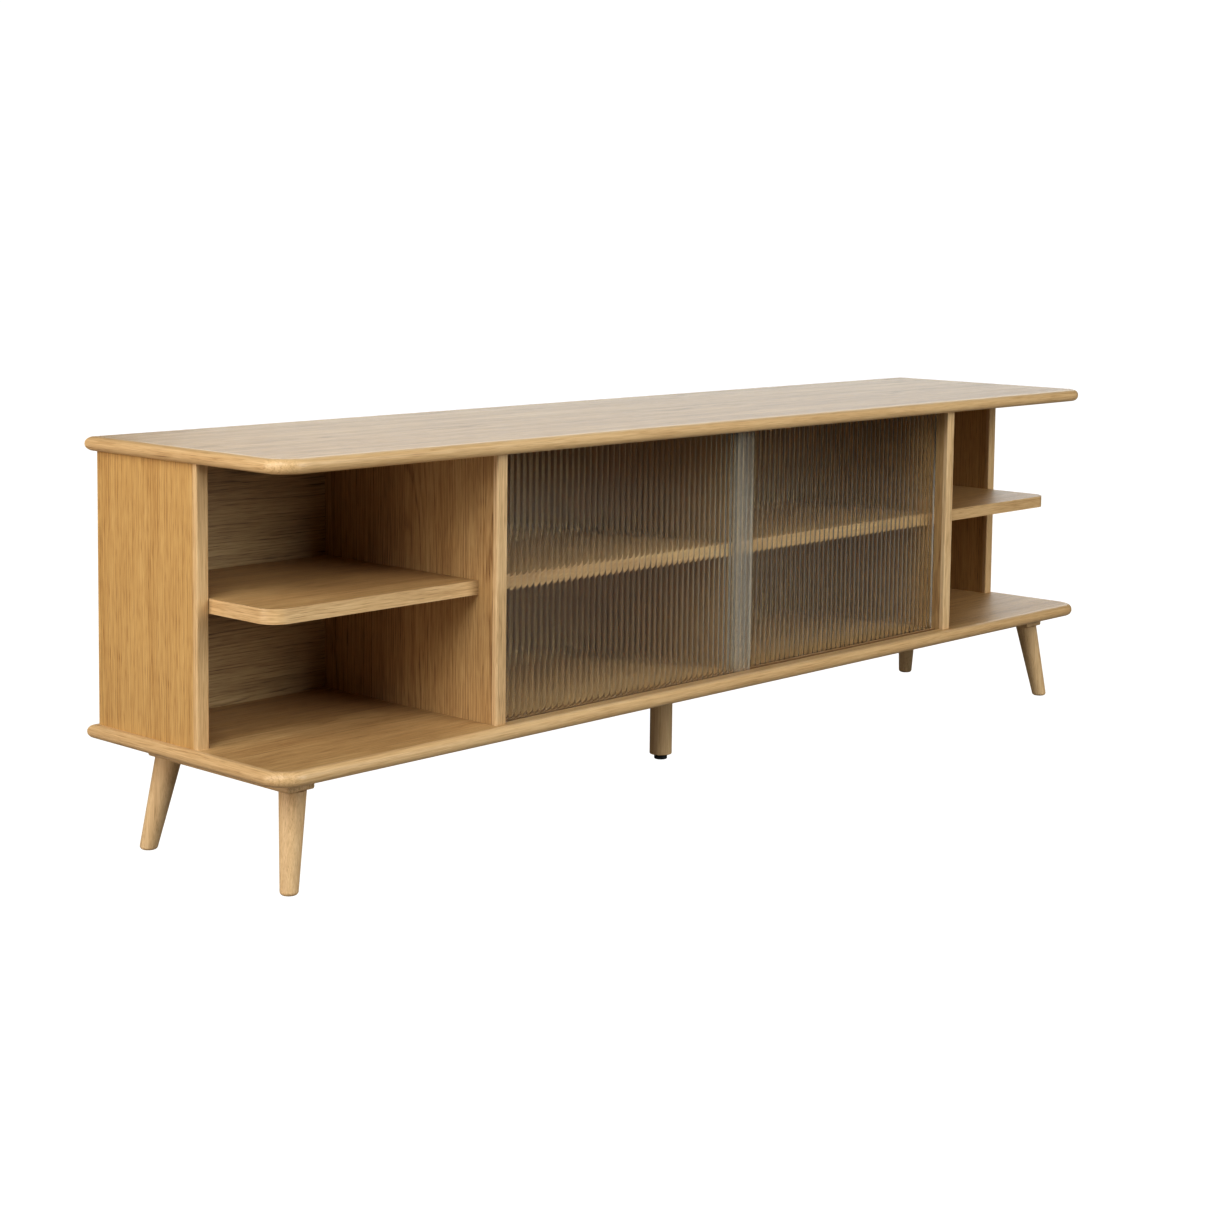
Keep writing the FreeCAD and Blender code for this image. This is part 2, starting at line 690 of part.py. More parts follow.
def leg_rail(name, side, bolts):
    """A bearer under one end of the cabinet, bored for two bolts and three screws."""
    body = new_body(f"{name}_rail_blank")
    bar = pad(body, rectangle(new_sketch(body), "rail_width", "rail_front + rail_rear"), "rail_thick")
    top = dim["rail_thick"]
    fillet(body, bar, lambda e: middle(e).z < top - 1, "rail_rounding")
    place(body, x=f"{side} * leg_spread", y="(rail_rear - rail_front) / 2",
          z="underside_height - rail_thick")
    doc.recompute()
    shift = body.Placement.Base.y
    countersink(body, [(0, y - shift) for y in RAIL_SCREW_ROWS], "rail_screw_radius",
                "rail_screw_head", "rail_screw_sink", "rail_thick")
    tools = doc.addObject("Part::Compound", f"{name}_rail_bores")
    tools.Links = bolts
    keep(f"{name}_leg_rail", cut(f"{name}_leg_rail", body, tools))


def centre_leg(bolt):
    """The straight leg at mid-length, bored above for its bolt and below for the glide."""
    body = new_body("centre_leg_blank")
    rod = circles(new_sketch(body), [(0, 0)], "centre_leg_radius")
    turned = pad(body, rod, "underside_height - centre_leg_rise")
    fillet(body, turned, lambda e: level(e) and middle(e).z < 1, "centre_leg_rounding")
    pocket(body, circles(new_sketch(body), [(0, 0)], "insert_radius"), "insert_length", reverse=True)
    pocket(body, circles(new_sketch(body), [(0, 0)], "insert_bore"), "stud_bore", reverse=True)
    place(body, x="centre_leg_offset", z="centre_leg_rise")
    keep("centre_leg", cut("centre_leg", body, bolt))


def levelling_glide():
    """A threaded insert fixed in the centre leg, and a round glide on a stud that turns in it."""
    insert = new_body("glide_insert")
    pad(insert, circles(new_sketch(insert), [(0, 0)], "insert_radius"), "insert_length")
    pocket(insert, circles(new_sketch(insert), [(0, 0)], "insert_bore"), "insert_length", reverse=True)
    place(insert, x="centre_leg_offset", z="centre_leg_rise")
    keep("glide_insert", insert)
    stud = new_body("glide_stud")
    pad(stud, circles(new_sketch(stud), [(0, 0)], "stud_radius"), "stud_length")
    place(stud, x="centre_leg_offset", z="stud_start")
    keep("glide_stud", stud)
    disc = new_body("centre_glide")
    puck = pad(disc, circles(new_sketch(disc), [(0, 0)], "glide_radius"), "glide_height")
    fillet(disc, puck, level, "glide_height / 4")
    socket = circles(new_sketch(disc, z="glide_height"), [(0, 0)], "stud_radius")
    pocket(disc, socket, "glide_height - stud_start")
    place(disc, x="centre_leg_offset")
    keep("centre_glide", disc)


# ---- fasteners --------------------------------------------------------------------------------

def joinery():
    """Dowels and screws that fix the uprights, the open shelves and the rails."""
    dowels = []
    for x, y in DOWEL_PLACES:
        for start in (FLOOR_TOP - dim["dowel_in_board"],
                      CEILING + dim["dowel_in_board"] - dim["dowel_length"]):
            dowels.append(cylinder("wood_dowel", "dowel_radius", "dowel_length", (x, y, start)))
    group("wood_dowels", dowels)
    shelf_dowels = []
    height = FLOOR_TOP + (SHELF_TOP + SHELF_UNDER) / 2
    for side in (-1, 1):
        for face_x, way, columns in ((side * BAY_OUTER, -side, SIDE_DOWEL_COLUMNS),
                                     (side * BAY_INNER, side, DIVIDER_DOWEL_COLUMNS)):
            for y in columns:
                start = (face_x - way * dim["shelf_dowel_in_panel"], y, height)
                shelf_dowels.append(cylinder("shelf_dowel", "shelf_dowel_radius",
                                             "shelf_dowel_length", start, (way, 0, 0)))
    group("shelf_dowels", shelf_dowels)
    group("joint_screws", [
        countersunk_screw("joint_screw", "joint_screw_radius", "joint_screw_head", "joint_screw_sink",
                          "joint_screw_length", (x, y, UNDERSIDE)) for x, y in SCREW_PLACES])
    group("rail_screws", [
        countersunk_screw("rail_screw", "rail_screw_radius", "rail_screw_head", "rail_screw_sink",
                          "rail_screw_length", (x, y, UNDERSIDE - dim["rail_thick"]))
        for x, y in rail_screw_places()])


# ---- build, check and write -------------------------------------------------------------------

def build():
    top_panel()
    bottom_panel()
    lipping_pieces()
    for position, middle_line in track_offsets().items():
        track_liner(f"bottom_{position}_track", middle_line, "bottom_groove", from_top=True)
        track_liner(f"top_{position}_track", middle_line, "top_groove", from_top=False)
    all_uprights()
    bay_middle = "(board_length / 2 - side_overhang + divider_half_gap) / 2"
    bay_width = "board_length / 2 - side_overhang - divider_half_gap - 2 * panel_thick"
    back_panel("left_back", f"-{bay_middle}", bay_width)
    back_panel("centre_back", "0", "2 * divider_half_gap")
    back_panel("right_back", bay_middle, bay_width)
    for name, side in (("left", -1), ("right", 1)):
        open_shelf(name, side)
        inner_shelf(name, side)
    shelf_pins()
    glass_door("left_door", -1, "front")
    glass_door("right_door", 1, "rear")
    bolts = leg_bolts()
    for label, side, across, x, y in leg_places():
        splayed_leg(label, side, across, x, y, bolts[label])
    for name, side in (("left", -1), ("right", 1)):
        leg_rail(name, side, [bolt for label, bolt in bolts.items() if label.endswith(f"{name}_leg")])
    centre_leg(bolts["centre_leg"])
    levelling_glide()
    joinery()


def check():
    """Stop on any failed object, and on any node that isn't made of valid solids."""
    doc.recompute()
    for item in doc.Objects:
        if "Invalid" in item.State or "Error" in item.State:
            raise RuntimeError(f"{item.Label} failed: {item.State}")
    for label, item in nodes.items():
        shape = item.Shape
        if shape.isNull() or not shape.isValid() or not shape.Solids:
            raise RuntimeError(f"{label} has no valid solid")


def write():
    os.makedirs("parts", exist_ok=True)
    for label, item in nodes.items():
        item.Shape.exportStep(f"parts/{label}.step")
        box = item.Shape.BoundBox
        print(f"{label}: {len(item.Shape.Solids)} solid(s), "
              f"x {box.XMin:.1f}..{box.XMax:.1f} y {box.YMin:.1f}..{box.YMax:.1f} "
              f"z {box.ZMin:.1f}..{box.ZMax:.1f}")


build()
check()
write()
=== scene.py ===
import math
import random

import bpy
from mathutils import Matrix, Vector


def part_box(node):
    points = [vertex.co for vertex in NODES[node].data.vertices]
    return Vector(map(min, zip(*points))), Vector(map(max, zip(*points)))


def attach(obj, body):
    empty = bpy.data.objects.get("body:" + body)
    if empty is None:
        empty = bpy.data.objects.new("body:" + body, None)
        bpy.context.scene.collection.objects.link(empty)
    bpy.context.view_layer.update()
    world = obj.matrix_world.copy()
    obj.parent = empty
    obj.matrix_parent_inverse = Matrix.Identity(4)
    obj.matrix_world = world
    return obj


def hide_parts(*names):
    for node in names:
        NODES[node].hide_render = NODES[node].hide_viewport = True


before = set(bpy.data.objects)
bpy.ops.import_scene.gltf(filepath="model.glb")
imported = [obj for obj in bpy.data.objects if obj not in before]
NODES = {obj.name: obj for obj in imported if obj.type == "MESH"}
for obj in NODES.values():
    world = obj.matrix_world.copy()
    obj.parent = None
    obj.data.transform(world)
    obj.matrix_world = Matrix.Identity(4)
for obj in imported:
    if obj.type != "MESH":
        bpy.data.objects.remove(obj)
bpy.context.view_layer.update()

# ---- camera -----------------------------------------------------------------------------------

CAMERA_PLACE = Vector((-2.5991, -2.29487, 0.83184))
CAMERA_YAW = math.radians(47.21)
CAMERA_PITCH = math.radians(-5.28)
CAMERA_ROLL = math.radians(-0.68)
CAMERA_LENS = 67.68
CAMERA_SHIFT = -0.1464
CAMERA_SENSOR = 36
CAMERA_REACH = 100


def make_camera():
    """The camera stands in front of the left end, turned from +Y towards +X by its yaw."""
    forward = Vector((math.sin(CAMERA_YAW) * math.cos(CAMERA_PITCH),
                      math.cos(CAMERA_YAW) * math.cos(CAMERA_PITCH),
                      math.sin(CAMERA_PITCH)))
    level = Vector((math.cos(CAMERA_YAW), -math.sin(CAMERA_YAW), 0))
    down = forward.cross(level)
    right = level * math.cos(CAMERA_ROLL) + down * math.sin(CAMERA_ROLL)
    up = level * math.sin(CAMERA_ROLL) - down * math.cos(CAMERA_ROLL)
    data = bpy.data.cameras.new("camera")
    data.lens = CAMERA_LENS
    data.sensor_width = CAMERA_SENSOR
    data.shift_y = CAMERA_SHIFT
    data.clip_end = CAMERA_REACH
    camera = bpy.data.objects.new("camera", data)
    turn = Matrix((right, up, -forward)).transposed().to_4x4()
    camera.matrix_world = Matrix.Translation(CAMERA_PLACE) @ turn
    bpy.context.scene.collection.objects.link(camera)
    bpy.context.scene.camera = camera


# ---- node helpers -----------------------------------------------------------------------------

class Graph:
    """A material's node tree, with a short call for each kind of node."""

    def __init__(self, name):
        self.material = bpy.data.materials.new(name)
        self.material.use_nodes = True
        self.tree = self.material.node_tree
        self.tree.nodes.clear()

    def feed(self, socket, value):
        """Links a socket, or sets a number or colour on it."""
        if isinstance(value, bpy.types.NodeSocket):
            self.tree.links.new(value, socket)
        else:
            socket.default_value = value

    def node(self, kind, inputs, **settings):
        made = self.tree.nodes.new("ShaderNode" + kind)
        for key, value in settings.items():
            setattr(made, key, value)
        for key, value in inputs.items():
            self.feed(made.inputs[key], value)
        return made

    def math(self, operation, *values):
        return self.node("Math", dict(enumerate(values)), operation=operation).outputs[0]

    def combine(self, x, y, z):
        return self.node("CombineXYZ", {0: x, 1: y, 2: z}).outputs[0]

    def stretched(self, point, along, across):
        """The point with its first axis scaled by along and its other two by across."""
        return self.node("VectorMath", {0: point, 1: (along, across, across)},
                         operation="MULTIPLY").outputs[0]

    def noise(self, point, detail=2.0, roughness=0.5):
        return self.node("TexNoise", {"Vector": point, "Scale": 1.0, "Detail": detail,
                                      "Roughness": roughness}).outputs["Fac"]

    def random(self, value):
        """A fixed random number for each whole number."""
        return self.node("TexWhiteNoise", {"W": value}, noise_dimensions="1D").outputs["Value"]

    def ranged(self, value, low, high, to_low, to_high, smooth=False):
        """The value carried from one range to another and held at its ends."""
        kind = "SMOOTHSTEP" if smooth else "LINEAR"
        return self.node("MapRange", {0: value, 1: low, 2: high, 3: to_low, 4: to_high},
                         interpolation_type=kind).outputs[0]

    def ramp(self, value, stops):
        """A colour for each value, from stops of (place, colour)."""
        made = self.node("ValToRGB", {0: value})
        points = made.color_ramp.elements
        while len(points) < len(stops):
            points.new(0.5)
        for point, (place, colour) in zip(points, stops):
            point.position = place
            point.color = (*colour, 1)
        return made.outputs[0]

    def bump(self, height, distance, strength):
        return self.node("Bump", {"Height": height, "Distance": distance,
                                  "Strength": strength}).outputs[0]

    def principled(self, **sockets):
        """The surface. A socket is named with an underscore for each space."""
        inputs = {key.replace("_", " "): value for key, value in sockets.items()}
        return self.node("BsdfPrincipled", inputs)

    def finish(self, shader):
        output = self.node("OutputMaterial", {"Surface": shader.outputs[0]})
        self.tree.nodes.active = output
        return self.material


def linear(red, green, blue):
    """A colour given in display values from 11 to 255, as the linear values that shaders use."""
    return tuple(((c / 255 + 0.055) / 1.055) ** 2.4 for c in (red, green, blue))


# ---- wood -------------------------------------------------------------------------------------

AXES = {"X": 0, "Y": 1, "Z": 2}
# How much of the grain's change through a band's thickness is kept where it goes round a corner.
WRAP_DEPTH = 0.02

# Each wood's tones from its darkest to its lightest, and where they stand on the ramp.
TONE_PLACES = (0.0, 0.36, 0.64, 1.0)
VENEER = (linear(122, 84, 48), linear(170, 131, 84), linear(196, 160, 110), linear(214, 184, 136))
SIDE_VENEER = (linear(134, 92, 48), linear(180, 138, 82), linear(202, 163, 104),
               linear(218, 184, 128))
BACK_VENEER = (linear(108, 82, 52), linear(166, 136, 94), linear(194, 166, 120),
               linear(210, 186, 144))
SOLID = (linear(148, 110, 72), linear(192, 156, 110), linear(215, 182, 136), linear(228, 202, 160))
PALE_SOLID = (linear(158, 124, 84), linear(204, 170, 126), linear(224, 193, 149),
              linear(234, 208, 170))
BEECH = (linear(176, 138, 100), linear(200, 164, 124), linear(212, 178, 138),
         linear(222, 190, 152))

# How a board was cut: how far its middle is from the tree's, across the board and under it, how
# fast that changes along the board, how far the grain wanders, and the width of a year's ring.
STRAIGHT = dict(centre=0.21, heart=0.10, tilt=0.012, wander=0.010, spacing=0.0042)
CATHEDRAL = dict(centre=0.045, heart=0.060, tilt=0.022, wander=0.008, spacing=0.0040)
MIXED = dict(centre=0.080, heart=0.060, tilt=0.026, wander=0.008, spacing=0.0044)

# The polish of solid edges, and the look of turned legs.
EDGE_ROUGH = 0.37
TURNED = dict(rings=0.1, streaks=0.5, rough=0.5)


def oak(name, grain, face, tones=VENEER, cut=STRAIGHT, leaf=0.0, rings=0.2, streaks=0.8,
        rough=0.42, wrap=False):
    """Oak whose grain runs along one axis; face is the axis the board is thin in. leaf is the
    width of one veneer leaf, or 0 for solid wood. rings and streaks say how strongly they show.
    wrap is for a thin band whose grain follows it round a corner."""
    graph = Graph(name)
    shift = random.Random(name)
    coordinates = graph.node("TexCoord", {}).outputs["Object"]
    split = graph.node("SeparateXYZ", {0: coordinates})
    across = next(axis for axis in "XYZ" if axis not in (grain, face))
    along, side, depth = (split.outputs[AXES[axis]] for axis in (grain, across, face))
    if wrap:
        along = graph.math("SUBTRACT", along, depth)
        depth = graph.math("MULTIPLY", depth, WRAP_DEPTH)
    tone = 0.5
    if leaf:
        number = graph.math("FLOOR", graph.math("DIVIDE", side, leaf))
        chance = graph.random(graph.math("ADD", number, round(shift.uniform(3, 60))))
        middle = graph.math("MULTIPLY", graph.math("ADD", number, 0.5), leaf)
        side = graph.math("SUBTRACT", side, middle)
        along = graph.math("ADD", along, graph.math("MULTIPLY", chance, 0.9))
        tone = graph.ranged(chance, 0, 1, 0.44, 0.56)
    along = graph.math("ADD", along, shift.uniform(2, 9))
    point = graph.combine(along, graph.math("ADD", side, shift.uniform(2, 9)),
                          graph.math("ADD", depth, shift.uniform(2, 9)))

    # The years' rings as cut by the board's face, in radius from the middle of the tree.
    slow = graph.noise(graph.stretched(point, 2.4, 6))
    quick = graph.noise(graph.stretched(point, 14, 70))
    sway = graph.math("MULTIPLY_ADD", slow, 2 * cut["wander"], -cut["wander"])
    sway = graph.math("MULTIPLY_ADD", quick, 0.9 * cut["spacing"], sway)
    under = graph.math("MULTIPLY_ADD", graph.noise(graph.stretched(point, 1.5, 2)),
                       2 * cut["tilt"], cut["heart"] - cut["tilt"])
    under = graph.math("ADD", under, sway)
    beside = graph.math("ADD", graph.math("SUBTRACT", side, cut["centre"]), sway)
    radius = graph.math("SQRT", graph.math("MULTIPLY_ADD", beside, beside,
                                           graph.math("MULTIPLY", under, under)))
    ring = graph.math("DIVIDE", radius, cut["spacing"])

    # The dark early wood of each ring, stronger in some years and broken along the grain.
    phase = graph.math("FRACT", ring)
    vigour = graph.random(graph.math("FLOOR", ring))
    early = graph.math("MULTIPLY", graph.ranged(phase, 0.0, 0.14, 0.0, 1.0, True),
                       graph.ranged(phase, 0.14, 0.6, 1.0, 0.0, True))
    early = graph.math("MULTIPLY", early, graph.ranged(vigour, 0, 1, 0.25, 1.0))
    broken = graph.noise(graph.stretched(point, 11, 90), 2.0, 0.6)
    early = graph.math("MULTIPLY", early, graph.ranged(broken, 0.35, 0.6, 0.15, 1.0))

    # The fine grain: streaks, hair lines, pores and broad changes of tone.
    streak = graph.noise(graph.stretched(point, 8, 440), 3.0, 0.6)
    hair = graph.noise(graph.stretched(point, 28, 1000), 2.0, 0.6)
    fleck = graph.noise(graph.stretched(point, 36, 1150), 1.0)
    pore = graph.math("MULTIPLY", graph.ranged(fleck, 0.52, 0.66, 0.0, 1.0),
                      graph.math("MULTIPLY_ADD", early, 0.6, 0.4))
    broad = graph.noise(graph.stretched(point, 1.6, 30), 2.0, 0.55)

    level = graph.math("MULTIPLY_ADD", broad, 0.5, graph.math("SUBTRACT", tone, 0.2))
    level = graph.math("MULTIPLY_ADD", streak, streaks, level)
    level = graph.math("MULTIPLY_ADD", hair, 0.8 * streaks, level)
    level = graph.math("SUBTRACT", level, 0.9 * streaks)
    level = graph.math("MULTIPLY_ADD", early, -rings, level)
    level = graph.math("MULTIPLY_ADD", pore, -0.6 * streaks, level)
    colour = graph.ramp(level, list(zip(TONE_PLACES, tones)))
    height = graph.math("MULTIPLY_ADD", streak, 0.5, graph.math("MULTIPLY", pore, -1.0))
    surface = graph.principled(Base_Color=colour, Normal=graph.bump(height, 0.00025, 0.5),
                               Roughness=graph.ranged(hair, 0.3, 0.7, rough - 0.06, rough + 0.08))
    return graph.finish(surface)


# ---- other materials --------------------------------------------------------------------------

# A lamp's light is tinted once at each face of the glass. Where the doors meet, a pale diffuse
# veil is painted into the glass: a painted brightening that stands in for the light seen through
# the two overlapping panes, full out to the first of the two distances set below from the
# cabinet's middle and gone by the second.
GLASS_TINT = (0.86, 0.86, 0.85, 1)
LAMP_TINT = (0.75, 0.78, 0.81, 1)
PAINTED_VEIL_TINT = (0.64, 0.56, 0.45, 1)
PAINTED_VEIL_SHARE = 0.07
PAINTED_VEIL_END, CLEAR_START = 0.0165, 0.019


def ribbed_glass():
    """Clear glass with faint handling marks, and a painted pale veil of light where the doors
    meet.
    """
    graph = Graph("ribbed_glass")
    coordinates = graph.node("TexCoord", {}).outputs["Object"]
    marks = graph.noise(graph.stretched(coordinates, 6, 6), 4.0, 0.6)
    surface = graph.principled(Base_Color=GLASS_TINT, IOR=1.5, Transmission_Weight=1.0,
                               Roughness=graph.ranged(marks, 0.45, 0.8, 0.0, 0.01))
    off_middle = graph.math("ABSOLUTE", graph.node("SeparateXYZ", {0: coordinates}).outputs[0])
    share = graph.ranged(off_middle, PAINTED_VEIL_END, CLEAR_START, PAINTED_VEIL_SHARE, 0.0)
    # Painted light: a pale diffuse veil near the middle, standing in for the light seen through
    # the overlapping panes.
    painted_veil = graph.node("BsdfDiffuse", {"Color": PAINTED_VEIL_TINT})
    seen = graph.node("MixShader", {0: share, 1: surface.outputs[0], 2: painted_veil.outputs[0]})
    clear = graph.node("BsdfTransparent", {"Color": LAMP_TINT})
    path = graph.node("LightPath", {})
    both = graph.node("MixShader", {0: path.outputs["Is Shadow Ray"], 1: seen.outputs[0],
                                    2: clear.outputs[0]})
    return graph.finish(both)


def moulded(name, dark, light, grain_scale, rough, metal=0.0, along=1.0):
    """A moulded or turned material: two close tones in a fine grain, with a matching bump."""
    graph = Graph(name)
    coordinates = graph.node("TexCoord", {}).outputs["Object"]
    fine = graph.noise(graph.stretched(coordinates, grain_scale * along, grain_scale), 3.0, 0.6)
    colour = graph.ramp(fine, [(0.35, dark), (0.65, light)])
    surface = graph.principled(Base_Color=colour, Metallic=metal,
                               Roughness=graph.ranged(fine, 0.3, 0.7, rough - 0.08, rough + 0.1),
                               Normal=graph.bump(fine, 0.00005, 0.4))
    return graph.finish(surface)


# ---- glass doors ------------------------------------------------------------------------------

FLUTES = 44
FLUTE_LEAN = math.radians(28)
RIDGE_RADIUS = 0.0012
GLASS_MARGIN = 0.002
GLASS_ARRIS = 0.0004
HOLLOW_STEPS = 24
RIDGE_STEPS = 8
SHARP_EDGE = math.radians(30)


def fluted_front(width):
    """Half the plan outline of a ribbed pane: (place along the width, depth behind the ridges)."""
    pitch = (width - 2 * GLASS_MARGIN) / FLUTES
    shoulder = RIDGE_RADIUS * math.sin(FLUTE_LEAN)
    shoulder_depth = RIDGE_RADIUS * (1 - math.cos(FLUTE_LEAN))
    hollow = pitch / (2 * math.sin(FLUTE_LEAN)) - RIDGE_RADIUS
    first = -FLUTES * pitch / 2

    def ridge(x, start, end):
        for step in range(start, end + 1):
            turn = FLUTE_LEAN * step / (RIDGE_STEPS // 2)
            yield x + RIDGE_RADIUS * math.sin(turn), RIDGE_RADIUS * (1 - math.cos(turn))

    points = [(-width / 2, GLASS_ARRIS), (-width / 2 + GLASS_ARRIS, 0.0)]
    points += ridge(first, 0, RIDGE_STEPS // 2)
    for number in range(FLUTES):
        middle = first + (number + 0.5) * pitch
        for step in range(1, HOLLOW_STEPS):
            turn = FLUTE_LEAN * (2 * step / HOLLOW_STEPS - 1)
            depth = shoulder_depth + hollow * (math.cos(turn) - math.cos(FLUTE_LEAN))
            points.append((middle + hollow * math.sin(turn), depth))
        last = number == FLUTES - 1
        points += ridge(middle + pitch / 2, -RIDGE_STEPS // 2, 0 if last else RIDGE_STEPS // 2)
    points += [(width / 2 - GLASS_ARRIS, 0.0), (width / 2, GLASS_ARRIS)]
    return points


def glass_door(node, body):
    """A pane built more finely than its CAD node, in the same place and with the same flutes."""
    low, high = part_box(node)
    middle = (low.x + high.x) / 2
    front = fluted_front(high.x - low.x)
    outline = [(middle + x, low.y + depth) for x, depth in front]
    back = [(middle + x, high.y) for x, depth in front]
    back[0] = (low.x, high.y - GLASS_ARRIS)
    back[-1] = (high.x, high.y - GLASS_ARRIS)
    back[1] = (low.x + GLASS_ARRIS, high.y)
    back[-2] = (high.x - GLASS_ARRIS, high.y)
    count = len(front)
    up = 2 * count
    points = [(x, y, z) for z in (low.z, high.z) for x, y in outline + back]
    faces = []
    for a in range(count - 1):
        b, c, d = a + 1, a + count, a + 1 + count
        faces += [(a, b, b + up, a + up), (d, c, c + up, d + up), (b, a, c, d),
                  (a + up, b + up, d + up, c + up)]
    for a, way in ((0, -1), (count - 1, 1)):
        faces.append((a, a + count, a + count + up, a + up)[::way])
    mesh = bpy.data.meshes.new(node + "_pane")
    mesh.from_pydata(points, [], faces)
    mesh.validate()
    mesh.polygons.foreach_set("use_smooth", [True] * len(mesh.polygons))
    mesh.set_sharp_from_angle(angle=SHARP_EDGE)
    pane = bpy.data.objects.new(node + "_pane", mesh)
    bpy.context.scene.collection.objects.link(pane)
    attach(pane, body)
    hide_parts(node)
    return pane


# ---- finishes ---------------------------------------------------------------------------------

def paint(node, material):
    """Gives one CAD node a finish."""
    slots = NODES[node].data.materials
    slots.clear()
    slots.append(material)


def finish_wood():
    for level in ("top", "bottom"):
        paint(f"{level}_panel",
              oak(f"oak_{level}_panel", "X", "Z", leaf=0.19, cut=MIXED, rings=0.16))
        for side, grain in (("front", "X"), ("rear", "X"), ("left", "Y"), ("right", "Y")):
            paint(f"{level}_{side}_lipping",
                  oak(f"oak_{level}_{side}_lipping", grain, "Z", SOLID, rings=0.15, streaks=0.55,
                      rough=EDGE_ROUGH))
    for side in ("left", "right"):
        paint(f"{side}_side_panel", oak(f"oak_{side}_side", "Z", "X", SIDE_VENEER, leaf=0.105))
        paint(f"{side}_divider",
              oak(f"oak_divider_{side}", "Z", "X", leaf=0.16, cut=MIXED, rings=0.3))
        for shelf in (f"{side}_open_shelf", f"{side}_inner_shelf"):
            paint(shelf, oak(f"oak_{shelf}", "X", "Z", leaf=0.15, rings=0.14))
        paint(f"{side}_back", oak(f"oak_{side}_back", "X", "Y", BACK_VENEER, leaf=0.18,
                                  cut=CATHEDRAL, rings=0.4, streaks=0.65))
        for part, grain, face, tones in (("side_edge", "Z", "X", SOLID),
                                         ("divider_edge", "Z", "X", PALE_SOLID),
                                         ("shelf_band", "X", "Y", SOLID),
                                         ("inner_shelf_edge", "X", "Y", VENEER)):
            paint(f"{side}_{part}",
                  oak(f"oak_{side}_{part}", grain, face, tones, rings=0.3, streaks=0.7,
                      rough=EDGE_ROUGH, wrap=part == "shelf_band"))
        paint(f"{side}_leg_rail", oak(f"oak_{side}_rail", "Y", "Z", PALE_SOLID, rings=0.15))
        for end in ("front", "rear"):
            paint(f"{end}_{side}_leg",
                  oak(f"oak_{end}_{side}_leg", "Z", "X", PALE_SOLID, **TURNED))
    paint("centre_back",
          oak("oak_centre_back", "X", "Y", BACK_VENEER, leaf=0.18, cut=CATHEDRAL, rings=0.2))
    paint("centre_partition", oak("oak_centre_partition", "Z", "X", leaf=0.16, cut=MIXED))
    paint("centre_partition_edge", oak("oak_partition_edge", "Z", "X", SOLID, streaks=0.7))
    paint("centre_leg", oak("oak_centre_leg", "Z", "X", PALE_SOLID, **TURNED))


def finish_rest():
    tan = moulded("runner_plastic", linear(120, 86, 52), linear(136, 100, 62), 900, 0.5,
                  along=0.05)
    steel = moulded("zinc_steel", linear(150, 152, 155), linear(176, 178, 180), 700, 0.35,
                    metal=1.0)
    nickel = moulded("nickel_pin", linear(168, 166, 160), linear(190, 188, 182), 900, 0.3,
                     metal=1.0)
    brass = moulded("brass_insert", linear(168, 132, 72), linear(190, 152, 88), 900, 0.32,
                    metal=1.0)
    black = moulded("glide_plastic", linear(24, 24, 25), linear(34, 34, 35), 1200, 0.55)
    beech = oak("beech_dowel", "Z", "X", BEECH, rings=0.1, streaks=0.2)
    for level in ("top", "bottom"):
        for track in ("front", "rear"):
            paint(f"{level}_{track}_track", tan)
    for node in ("joint_screws", "rail_screws", "leg_bolts", "glide_stud"):
        paint(node, steel)
    paint("shelf_pins", nickel)
    paint("glide_insert", brass)
    paint("centre_glide", black)
    paint("wood_dowels", beech)
    paint("shelf_dowels", beech)


# ---- room -------------------------------------------------------------------------------------

ROOM_MIDDLE = Vector((0, 0, 0.3))
FLOOR_REACH = 30
FLOOR_TINT = (0.33, 0.3, 0.26, 1)
FLOOR_GLOW = 1.16
FLOOR_GLOW_SHARE = 0.92
WORLD_TO_OBJECT = 0.005
WORLD_TO_CAMERA = 1.05
DISPLAY_GAMMA = 0.85
# Each lamp's name, azimuth, elevation, distance, width, height, power and colour.
LAMPS = (
    ("left_low_lamp", -95, 10, 3.5, 2.0, 2.0, 48, (1.0, 0.92, 0.85)),
    ("left_lamp", -88, 30, 3.5, 2.0, 2.0, 20, (1.0, 1.0, 1.0)),
    ("key_lamp", -63, 35, 3.5, 1.6, 1.6, 56, (0.86, 0.95, 1.0)),
    ("front_low_lamp", 10, 20, 4.0, 2.0, 2.0, 90, (0.93, 0.99, 1.0)),
    ("front_high_lamp", 10, 42, 4.0, 2.0, 2.0, 30, (1.0, 0.9, 0.83)),
    ("rear_lamp", 130, 22, 4.5, 4.0, 3.0, 83, (0.95, 0.99, 1.0)),
)


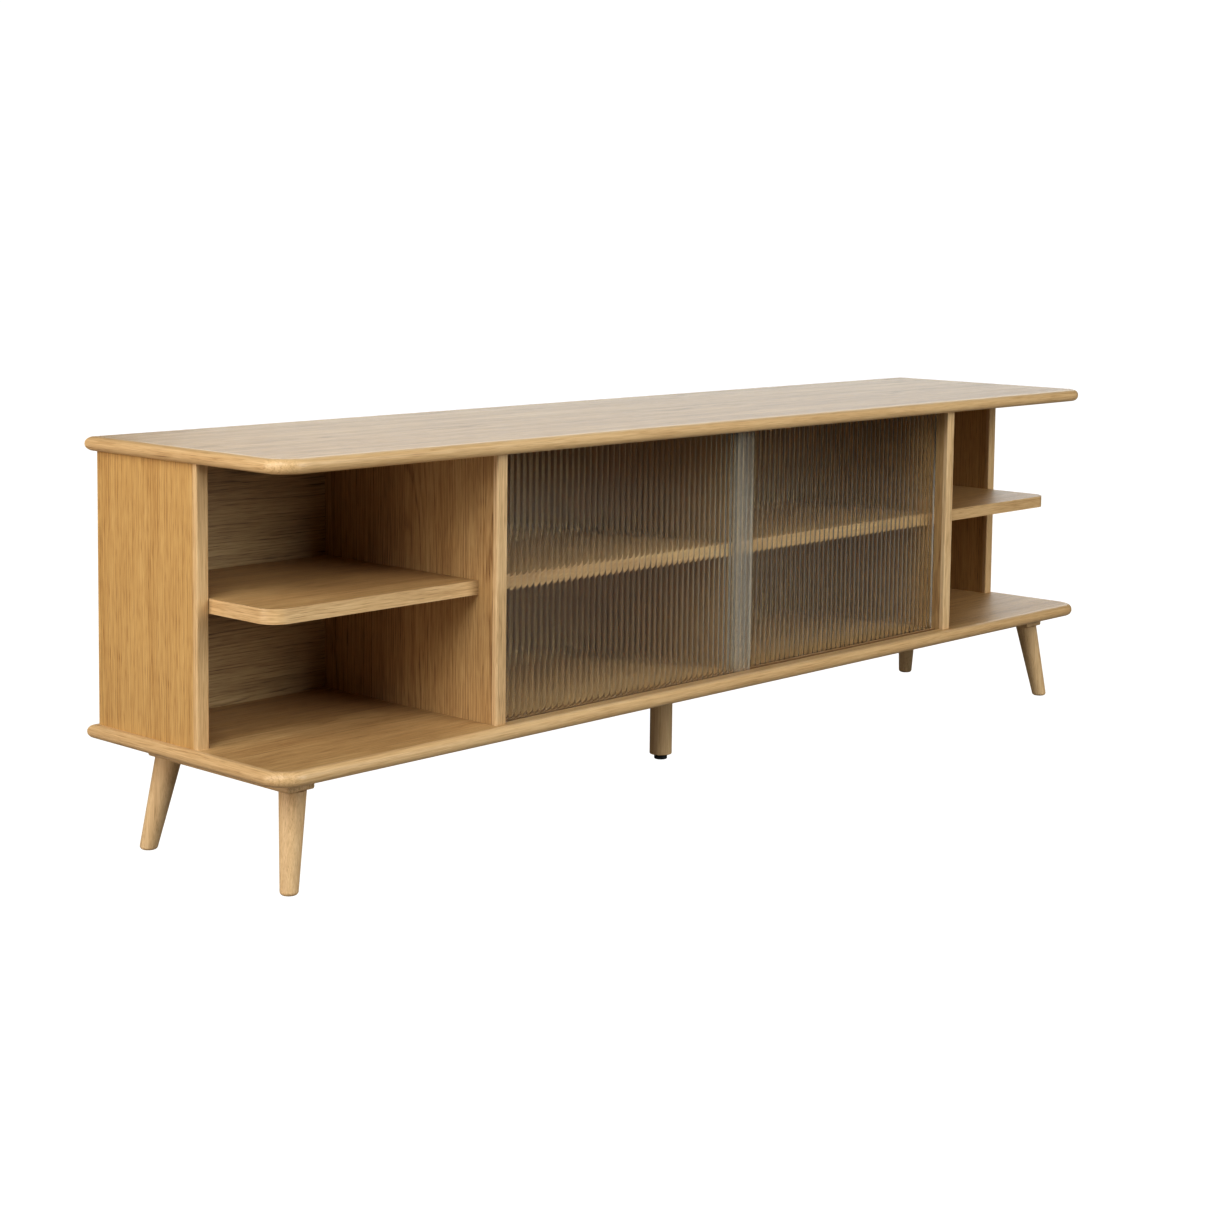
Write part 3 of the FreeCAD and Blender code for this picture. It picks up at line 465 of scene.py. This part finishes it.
def make_floor():
    """A plain pale floor, so evenly lit that shadows on it are faint."""
    size = FLOOR_REACH
    mesh = bpy.data.meshes.new("floor")
    mesh.from_pydata([(-size, -size, 0), (size, -size, 0), (size, size, 0), (-size, size, 0)], [],
                     [(0, 1, 2, 3)])
    floor = bpy.data.objects.new("floor", mesh)
    bpy.context.scene.collection.objects.link(floor)
    graph = Graph("floor")
    diffuse = graph.node("BsdfDiffuse", {"Color": FLOOR_TINT})
    glow = graph.node("Emission", {"Color": (1, 1, 1, 1), "Strength": FLOOR_GLOW})
    path = graph.node("LightPath", {})
    share = graph.math("MULTIPLY", path.outputs["Is Camera Ray"], FLOOR_GLOW_SHARE)
    both = graph.node("MixShader", {0: share, 1: diffuse.outputs[0], 2: glow.outputs[0]})
    mesh.materials.append(graph.finish(both))


def make_world():
    """White all round, brighter to the camera than to the object."""
    world = bpy.data.worlds.new("studio")
    world.use_nodes = True
    tree = world.node_tree
    background = tree.nodes["Background"]
    background.inputs["Color"].default_value = (1, 1, 1, 1)
    path = tree.nodes.new("ShaderNodeLightPath")
    level = tree.nodes.new("ShaderNodeMapRange")
    level.inputs[3].default_value = WORLD_TO_OBJECT
    level.inputs[4].default_value = WORLD_TO_CAMERA
    tree.links.new(path.outputs["Is Camera Ray"], level.inputs[0])
    tree.links.new(level.outputs[0], background.inputs["Strength"])
    bpy.context.scene.world = world


def softbox(name, place, target, width, height, power, colour):
    """A rectangular lamp at place, facing target."""
    data = bpy.data.lights.new(name, "AREA")
    data.shape = "RECTANGLE"
    data.size = width
    data.size_y = height
    data.energy = power
    data.color = colour
    lamp = bpy.data.objects.new(name, data)
    lamp.location = place
    lamp.rotation_mode = "QUATERNION"
    lamp.rotation_quaternion = (target - place).to_track_quat("-Z", "Y")
    bpy.context.scene.collection.objects.link(lamp)


def round_about(azimuth, elevation, distance):
    """A place seen from the cabinet's middle at an azimuth, 0 in front, and an elevation."""
    turn, rise = math.radians(azimuth), math.radians(elevation)
    away = Vector((math.sin(turn) * math.cos(rise), -math.cos(turn) * math.cos(rise),
                   math.sin(rise)))
    return ROOM_MIDDLE + away * distance


def light_room():
    make_world()
    for name, azimuth, elevation, distance, width, height, power, colour in LAMPS:
        place = round_about(azimuth, elevation, distance)
        softbox(name, place, ROOM_MIDDLE, width, height, power, colour)


make_camera()
glass = ribbed_glass()
for side in ("left", "right"):
    glass_door(f"{side}_door", f"{side}_door").data.materials.append(glass)
finish_wood()
finish_rest()
make_floor()
light_room()
bpy.context.scene.view_settings.view_transform = "Standard"
bpy.context.scene.view_settings.gamma = DISPLAY_GAMMA
